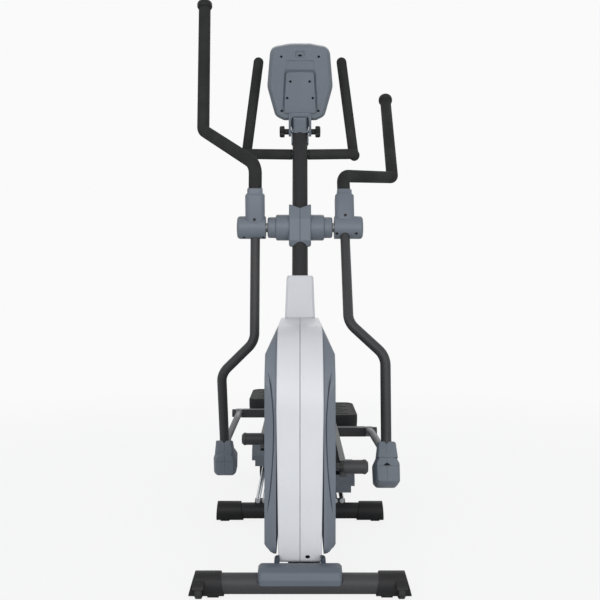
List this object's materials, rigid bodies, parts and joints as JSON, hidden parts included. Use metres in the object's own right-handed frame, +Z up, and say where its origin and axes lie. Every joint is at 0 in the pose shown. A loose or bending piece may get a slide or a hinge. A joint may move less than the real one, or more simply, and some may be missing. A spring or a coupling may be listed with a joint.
{
  "type": "elliptical trainer",
  "caption": "Front-drive elliptical trainer: pedals on roller rails, shrouded crank and flywheel, swing arms with foam handles, a fixed handlebar and a tilting console.",
  "frame": {"origin": "floor level, under the middle of the bounding box", "axes": "+X to the machine's right seen from its front, +Y from the front foot back to the rider, +Z up"},
  "size_m": [0.7302, 1.484, 1.7123],
  "materials": {
    "frame_paint": "satin dark grey paint",
    "black_plastic": "fine grained black plastic",
    "wheel_rubber": "smooth black rubber",
    "white_plastic": "satin off-white plastic",
    "slate_plastic": "fine grained slate grey plastic",
    "rail_chrome": "polished",
    "link_steel": "satin zinc plated",
    "flywheel_iron": "turned",
    "grip_foam": "matt foam",
    "pedal_plastic": "grained grey plastic",
    "screen": "gloss",
    "button_rubber": "satin"
  },
  "bodies": {
    "frame": {"front_stabilizer": "frame_paint", "rear_stabilizer": "frame_paint", "front_cap_left": "black_plastic", "front_cap_right": "black_plastic", "rear_caps": "black_plastic", "saddle_cover": "slate_plastic", "main_frame": "frame_paint", "rail_foot": "frame_paint", "rails_left": "rail_chrome", "rails_right": "rail_chrome", "shroud_left": "white_plastic", "shroud_right": "white_plastic", "side_panel_left": "slate_plastic", "side_panel_right": "slate_plastic", "neck_collar": "white_plastic", "power_inlet": "black_plastic", "mast": "frame_paint", "pivot_axle": "rail_chrome", "hub_cover_left": "slate_plastic", "hub_cover_right": "slate_plastic", "pulse_bar": "frame_paint", "pulse_grip_left": "grip_foam", "pulse_grip_right": "grip_foam", "console_yoke": "slate_plastic", "belt": "wheel_rubber"},
    "console": {"console_back": "slate_plastic", "console_front": "slate_plastic", "console_screen": "screen"},
    "mode_key": {"button_mode": "button_rubber"},
    "up_key": {"button_up": "button_rubber"},
    "down_key": {"button_down": "button_rubber"},
    "knob_left": {"knob_left": "black_plastic"},
    "knob_right": {"knob_right": "black_plastic"},
    "wheel_left": {"transport_wheel_left": "wheel_rubber"},
    "wheel_right": {"transport_wheel_right": "wheel_rubber"},
    "crank": {"crank_axle": "rail_chrome", "crank_arm_left": "frame_paint", "crank_arm_right": "frame_paint", "drive_pulley": "black_plastic"},
    "flywheel": {"flywheel": "flywheel_iron"},
    "magnets": {"magnet_bracket": "link_steel"},
    "beam_left": {"foot_beam_left": "frame_paint", "carriage_left": "slate_plastic", "pedal_left": "pedal_plastic"},
    "beam_right": {"foot_beam_right": "frame_paint", "carriage_right": "slate_plastic", "pedal_right": "pedal_plastic"},
    "roller_left": {"roller_left": "wheel_rubber"},
    "roller_right": {"roller_right": "wheel_rubber"},
    "link_left": {"link_left": "link_steel"},
    "link_right": {"link_right": "link_steel"},
    "arm_left": {"arm_tube_left": "frame_paint", "arm_housing_left": "slate_plastic", "handle_left": "grip_foam", "foot_cover_left": "slate_plastic"},
    "arm_right": {"arm_tube_right": "frame_paint", "arm_housing_right": "slate_plastic", "handle_right": "grip_foam", "foot_cover_right": "slate_plastic"}
  },
  "joints": [
    {"name": "crank_spin", "type": "hinge", "parent": "frame", "child": "crank", "pos_m": [0, -0.38238, 0.265], "axis": [1, 0, 0], "range_deg": [0, 180]},
    {"name": "flywheel_spin", "type": "hinge", "parent": "frame", "child": "flywheel", "pos_m": [-0.008, -0.54038, 0.309], "axis": [1, 0, 0], "continuous": true},
    {"name": "magnet_tilt", "type": "hinge", "parent": "frame", "child": "magnets", "pos_m": [-0.008, -0.48038, 0.20508], "axis": [1, 0, 0], "range_deg": [0, 8]},
    {"name": "beam_right_slide", "type": "slide", "parent": "frame", "child": "beam_right", "axis": [0, 1, 0], "range_m": [0, 0.36]},
    {"name": "beam_left_slide", "type": "slide", "parent": "frame", "child": "beam_left", "axis": [0, 1, 0], "range_m": [-0.36, 0]},
    {"name": "roller_right_spin", "type": "hinge", "parent": "beam_right", "child": "roller_right", "pos_m": [0.116, 0.00362, 0.087], "axis": [1, 0, 0], "continuous": true},
    {"name": "roller_left_spin", "type": "hinge", "parent": "beam_left", "child": "roller_left", "pos_m": [-0.116, 0.36362, 0.087], "axis": [1, 0, 0], "continuous": true},
    {"name": "link_right_swing", "type": "hinge", "parent": "beam_right", "child": "link_right", "pos_m": [0.216, 0.02162, 0.246], "axis": [1, 0, 0], "range_deg": [0, 11.23]},
    {"name": "link_left_swing", "type": "hinge", "parent": "beam_left", "child": "link_left", "pos_m": [-0.216, 0.38162, 0.246], "axis": [1, 0, 0], "range_deg": [-11.23, 0]},
    {"name": "arm_right_swing", "type": "hinge", "parent": "frame", "child": "arm_right", "pos_m": [0.15, 0.03436, 0.88707], "axis": [1, 0, 0], "range_deg": [0, 29]},
    {"name": "arm_left_swing", "type": "hinge", "parent": "frame", "child": "arm_left", "pos_m": [-0.15, 0.03436, 0.88707], "axis": [1, 0, 0], "range_deg": [-29, 0]},
    {"name": "console_tilt", "type": "hinge", "parent": "frame", "child": "console", "pos_m": [0, 0.15451, 1.21007], "axis": [1, 0, 0], "range_deg": [-15, 12]},
    {"name": "knob_left_turn", "type": "hinge", "parent": "frame", "child": "knob_left", "pos_m": [-0.028, 0.15451, 1.21007], "axis": [1, 0, 0], "continuous": true},
    {"name": "knob_right_turn", "type": "hinge", "parent": "frame", "child": "knob_right", "pos_m": [0.028, 0.15451, 1.21007], "axis": [1, 0, 0], "continuous": true},
    {"name": "mode_key_press", "type": "slide", "parent": "console", "child": "mode_key", "axis": [0, -0.9135, -0.4067], "range_m": [0, 0.002], "stiffness_N_per_m": 600},
    {"name": "up_key_press", "type": "slide", "parent": "console", "child": "up_key", "axis": [0, -0.9135, -0.4067], "range_m": [0, 0.002], "stiffness_N_per_m": 600},
    {"name": "down_key_press", "type": "slide", "parent": "console", "child": "down_key", "axis": [0, -0.9135, -0.4067], "range_m": [0, 0.002], "stiffness_N_per_m": 600},
    {"name": "wheel_left_spin", "type": "hinge", "parent": "frame", "child": "wheel_left", "pos_m": [-0.23, -0.71938, 0.019], "axis": [1, 0, 0], "continuous": true},
    {"name": "wheel_right_spin", "type": "hinge", "parent": "frame", "child": "wheel_right", "pos_m": [0.23, -0.71938, 0.019], "axis": [1, 0, 0], "continuous": true}
  ],
  "couplings": [
    {"joint": "beam_right_slide", "follows": "crank_spin", "m_per_rad": 0.11459},
    {"joint": "beam_left_slide", "follows": "crank_spin", "m_per_rad": -0.11459},
    {"joint": "arm_right_swing", "follows": "crank_spin", "ratio": 0.16112},
    {"joint": "arm_left_swing", "follows": "crank_spin", "ratio": -0.16112},
    {"joint": "link_right_swing", "follows": "crank_spin", "ratio": 0.06237},
    {"joint": "link_left_swing", "follows": "crank_spin", "ratio": -0.06237},
    {"joint": "roller_right_spin", "follows": "crank_spin", "ratio": -6.3662},
    {"joint": "roller_left_spin", "follows": "crank_spin", "ratio": 6.3662},
    {"joint": "flywheel_spin", "follows": "crank_spin", "ratio": 6}
  ]
}
